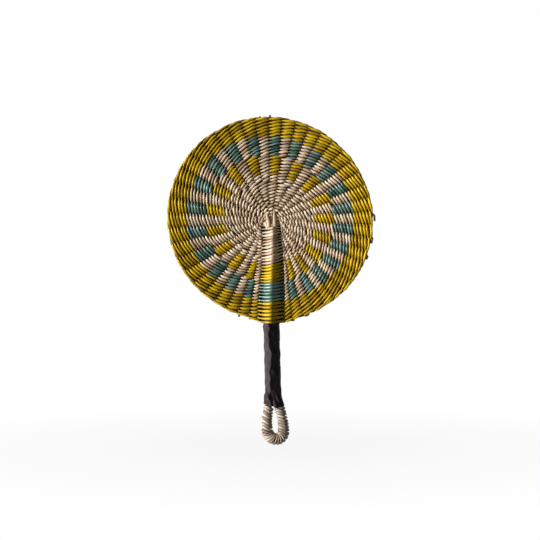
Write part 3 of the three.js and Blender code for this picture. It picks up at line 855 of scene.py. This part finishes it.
def make_bundle():
    """The hairpin, the fillers in its grooves, packing that makes it round, and flat straws beside it."""
    # These straws are near black: painted shade between the loop's turns
    place_round_straw("hairpin_core", loop_path(BUNDLE_TOP), LEG_RADIUS, "loop_hairpin")
    z = np.linspace(BUNDLE_TOP, SPREAD_START, BUNDLE_STEPS)
    for face, toward in (("front", -1), ("back", 1)):
        path = np.stack([sweep(z), 0 * z + toward * FILLER_Y, z], -1)
        place_round_straw(f"filler_straw_{face}", path, FILLER_RADIUS, f"handle_filler_{face}")
        for side, across in (("left", -1), ("right", 1)):
            path = np.stack([sweep(z) + across * PACKING_X, 0 * z + toward * PACKING_Y, z], -1)
            node = f"packing_straw_{face}_{side}"
            place_round_straw(f"packing_{face}_{side}", path, PACKING_RADIUS, node)
    z = np.linspace(BUNDLE_TOP, FLANK_BOTTOM, FLANK_STEPS)
    for side, across in (("left", -1), ("right", 1)):
        path = np.stack([0 * z + across * FLANK_X, 0 * z, z], -1)
        node = f"packing_straw_front_{side}"
        place_straw(f"flank_straw_{side}", path, SPOKE_THICKNESS / 2, FLANK_WIDTH / 2, node)


# Loop winding

def make_winding():
    """Grass wound round the loop in close turns, which fan out round the bend."""
    path = loop_path(WINDING_TOP)
    known = np.arange(len(path))
    path = between(np.linspace(0, known[-1], PATH_STEPS * len(path)), known, path)
    along = unit(np.gradient(path, axis=0))
    across = np.array([0.0, 1.0, 0.0])
    inward = np.cross(along, across)
    radius = LEG_RADIUS + WINDING_SLACK + WINDING_THICKNESS / 2
    pace = travelled(path + inward * radius / 2)
    turns = np.linspace(0, WINDING_TURNS, WINDING_TURNS * WINDING_STEPS + 1)

    def uneven(amount):
        """A random value at each turn, shared out smoothly along the winding."""
        values = random.uniform(-amount, amount, WINDING_TURNS + 1)
        return np.interp(turns, np.arange(WINDING_TURNS + 1), values)

    ends = np.clip(np.minimum(turns, WINDING_TURNS - turns), 0, 1)
    slant = -WINDING_SLANT * ends * np.sin(TURN * turns)
    at = (turns + uneven(PITCH_VARIES)) / WINDING_TURNS * pace[-1] + slant
    at = np.clip(at, 0, pace[-1])
    middle = between(at, pace, path)
    angle = -TURN * turns[:, None]
    outward = unit(across * np.cos(angle) + between(at, pace, inward) * np.sin(angle))

    # The turns bunch up inside the bend
    crowded = smooth(BUNCH_START, BUNCH_FULL, middle[:, 2:]) * np.maximum(0, np.sin(angle)) ** 2
    bunch = WINDING_BUNCH / 2 * crowded
    centre = middle + outward * (radius + bunch)
    pitch = np.linalg.norm(np.roll(centre, -WINDING_STEPS, 0) - centre, axis=1)
    pitch[-WINDING_STEPS:] = pitch[-WINDING_STEPS - 1]
    half_width = WINDING_SHARE * pitch / 2 * (1 + uneven(TURN_VARIES))
    half_width *= 1 + WINDING_WIDEN * crowded[:, 0]

    shade = random.beta(*TURN_SHADES, SHADES_PER_TURN * WINDING_TURNS + 1)
    tint = np.interp(turns * SHADES_PER_TURN, np.arange(len(shade)), shade)
    tubes = Tubes()
    tubes.add(centre, outward, WINDING_THICKNESS / 2 + bunch[:, 0], half_width, tint)
    loop_grass = grass_material("loop_grass", *LOOP_GRASS)
    place(tubes.build("loop_turns"), loop_grass, "loop_winding")


# Leather grip

def grip_edges(angle):
    """The heights of the lower and of the upper edge, which are cut unevenly."""
    front = np.maximum(0, -np.sin(angle))
    low = GRIP_BOTTOM - LOWER_SLANT * np.cos(angle) - LOWER_TONGUE * front**6
    low -= LOWER_CORNER * hump(angle, CORNER_ANGLE, CORNER_WIDTH)
    for height, number, phase in LOWER_WAVES:
        low += height * np.sin(number * angle + phase)
    return low, GRIP_TOP - UPPER_NOTCH * hump(angle, NOTCH_ANGLE, NOTCH_WIDTH)


def lap_relief(angle, z):
    """The lap's edge wanders down the front as a ridge, with a step and a flat to its right."""
    wander = sum(swing * np.sin(z / length + phase) for swing, length, phase in LAP_WAVES)
    lap = angle - (LAP_ANGLE + wander)
    ridge = GRIP_RIDGE * np.exp(-np.abs(lap / LAP_WIDTH) ** 1.5)
    round_grip = BUNDLE_RADIUS + LEATHER_THICKNESS
    flat = (round_grip + GRIP_RIDGE) * math.cos(GRIP_FLAT)
    flat = flat / np.cos(np.minimum(lap, GRIP_FLAT) - GRIP_FLAT) - round_grip
    step = LAP_STEP / 2 * (np.tanh(-lap / STEP_WIDTH) + 1) * hump(lap, 0, STEP_REACH)
    return np.where(lap > 0, flat, ridge) + step


def fold_relief(angle, z):
    """Slanting folds, which fade out at both ends."""
    relief = 0 * z
    for top, left, bottom, right, height in FOLDS:
        share = (top - z) / (top - bottom)
        line = left + (right - left) * share
        faded = smooth(0, FOLD_FADE, share) * (1 - smooth(1 - FOLD_FADE, 1, share))
        relief += height * faded * hump(angle, line, FOLD_WIDTH)
    return relief


def wrinkle_relief(angle, z, parted):
    """Fine wrinkles all over, and larger ones where the lower end is crumpled."""
    def wave(number, length, phase=0):
        """A wave with a number of crests round the grip and a length along it."""
        return np.sin(number * angle + z / length + phase)

    relief = WRINKLE * wave(3, 6.5 * MM) * wave(2, 11 * MM)
    relief += FINE_WRINKLE * wave(5, -3.1 * MM) * wave(0, 17 * MM, 1)
    relief += CREASE * np.abs(wave(4, 9 * MM, wave(0, 5 * MM)))
    return relief + parted**1.5 * CRUMPLE * np.abs(wave(6.5, 10 * MM, 0.6))


def make_sleeve():
    """A creased leather strip lapped round the bundle, with a crumpled lower edge over the loop's legs."""
    around = TURN * np.arange(GRIP_COLUMNS) / GRIP_COLUMNS
    angle, level = np.meshgrid(around, np.linspace(0, 1, GRIP_ROWS), indexing="ij")
    low, high = grip_edges(angle)
    z = high + (low - high) * level

    # The legs part towards the lower edge, and the leather goes from round to oval
    parted = np.clip((SPREAD_START - z) / (SPREAD_START - GRIP_BOTTOM), 0, 1)
    slack = GRIP_SLACK + (GRIP_SLACK_BELOW - GRIP_SLACK) * parted
    half_width = leg_offset(z) + LEG_RADIUS + LEATHER_THICKNESS + slack
    half_depth = (BUNDLE_RADIUS + LEATHER_THICKNESS) * (1 - parted)
    half_depth += parted * np.sqrt(LEG_RADIUS * half_width)
    relief = (lap_relief(angle, z) + fold_relief(angle, z)) * (1 - RIDGE_FADE * parted)
    relief += wrinkle_relief(angle, z, parted)

    layers = []
    for inset in (0, LEATHER_THICKNESS):
        x = (half_width + relief - inset) * np.cos(angle) + sweep(z)
        y = (half_depth + relief - inset) * np.sin(angle)
        layers.append(np.stack([x, y, z], -1))
    outer, inner = layers
    shell = np.concatenate([outer, inner[:, ::-1]], 1)
    index = np.arange(GRIP_COLUMNS * 2 * GRIP_ROWS).reshape(GRIP_COLUMNS, 2 * GRIP_ROWS)
    quads, u, v = tube_faces(index, closed=True)
    uv = np.stack([u, v], -1).reshape(-1, 2)
    sleeve = mesh_object("leather_grip", shell.reshape(-1, 3), [quads], uv)
    place(sleeve, leather_material(), "leather_sleeve")


make_bundle()
make_winding()
make_sleeve()


# Stage

def combine(tree, operation, first, second):
    node = tree.nodes.new("ShaderNodeMath")
    node.operation = operation
    tree.links.new(first, node.inputs[0])
    tree.links.new(second, node.inputs[1])
    return node.outputs[0]


def map_range(tree, value, source, target):
    """Carries a value from the source range over to the target range."""
    node = tree.nodes.new("ShaderNodeMapRange")
    node.inputs["From Min"].default_value, node.inputs["From Max"].default_value = source
    node.inputs["To Min"].default_value, node.inputs["To Max"].default_value = target
    tree.links.new(value, node.inputs["Value"])
    return node.outputs["Result"]


def seen_by_eye(tree):
    """One for camera, glossy and transmission rays, and zero for the rays that light the object."""
    path = tree.nodes.new("ShaderNodeLightPath")
    total = path.outputs["Is Camera Ray"]
    for kind in ("Is Glossy Ray", "Is Transmission Ray"):
        total = combine(tree, "MAXIMUM", total, path.outputs[kind])
    return total


def make_floor():
    """A pale floor that fades to white away from the object and keeps its shadow."""
    bpy.ops.mesh.primitive_plane_add(size=FLOOR_SIZE, location=(0, 0, LOOP_BOTTOM - FLOOR_DROP))
    floor = bpy.context.object
    floor.name = "floor"
    material, tree, bsdf = shader("floor")
    bsdf.inputs["Base Color"].default_value = (*FLOOR_COLOUR, 1)
    bsdf.inputs["Roughness"].default_value = FLOOR_ROUGHNESS
    white = tree.nodes.new("ShaderNodeEmission")
    where = tree.nodes.new("ShaderNodeTexCoord")
    length = tree.nodes.new("ShaderNodeVectorMath")
    length.operation = "LENGTH"
    tree.links.new(where.outputs["Object"], length.inputs[0])
    fade = map_range(tree, length.outputs["Value"], FLOOR_FADE, FLOOR_WHITE)
    blend = tree.nodes.new("ShaderNodeMixShader")
    tree.links.new(combine(tree, "MULTIPLY", seen_by_eye(tree), fade), blend.inputs["Fac"])
    tree.links.new(bsdf.outputs["BSDF"], blend.inputs[1])
    tree.links.new(white.outputs["Emission"], blend.inputs[2])
    tree.links.new(blend.outputs["Shader"], tree.nodes["Material Output"].inputs["Surface"])
    floor.data.materials.append(material)


def make_world():
    """White to the camera, and a dim even light for everything else."""
    world = bpy.data.worlds.new("studio")
    world.use_nodes = True
    tree = world.node_tree
    background = tree.nodes["Background"]
    background.inputs["Color"].default_value = (*WHITE, 1)
    strength = map_range(tree, seen_by_eye(tree), (0, 1), (WORLD_LIGHT, 1))
    tree.links.new(strength, background.inputs["Strength"])
    bpy.context.scene.world = world


def make_lamp(name, location, size, power):
    light = bpy.data.lights.new(name, "AREA")
    light.size = size
    light.energy = power
    lamp = bpy.data.objects.new(name, light)
    lamp.location = location
    lamp.rotation_mode = "QUATERNION"
    lamp.rotation_quaternion = (Vector((0, 0, DISC_Z)) - Vector(location)).to_track_quat("-Z", "Y")
    bpy.context.collection.objects.link(lamp)


def make_camera():
    data = bpy.data.cameras.new("camera")
    data.lens = LENS
    data.sensor_width = SENSOR
    camera = bpy.data.objects.new("camera", data)
    distance = IMAGE_PIXELS * PIXEL * LENS / SENSOR
    camera.location = (IMAGE_CENTRE[0], -distance, IMAGE_CENTRE[1])
    camera.rotation_euler = (math.pi / 2, 0, 0)
    bpy.context.collection.objects.link(camera)
    bpy.context.scene.camera = camera


make_floor()
make_world()
for lamp in LAMPS:
    make_lamp(*lamp)
make_camera()
bpy.context.scene.view_settings.view_transform = "Standard"
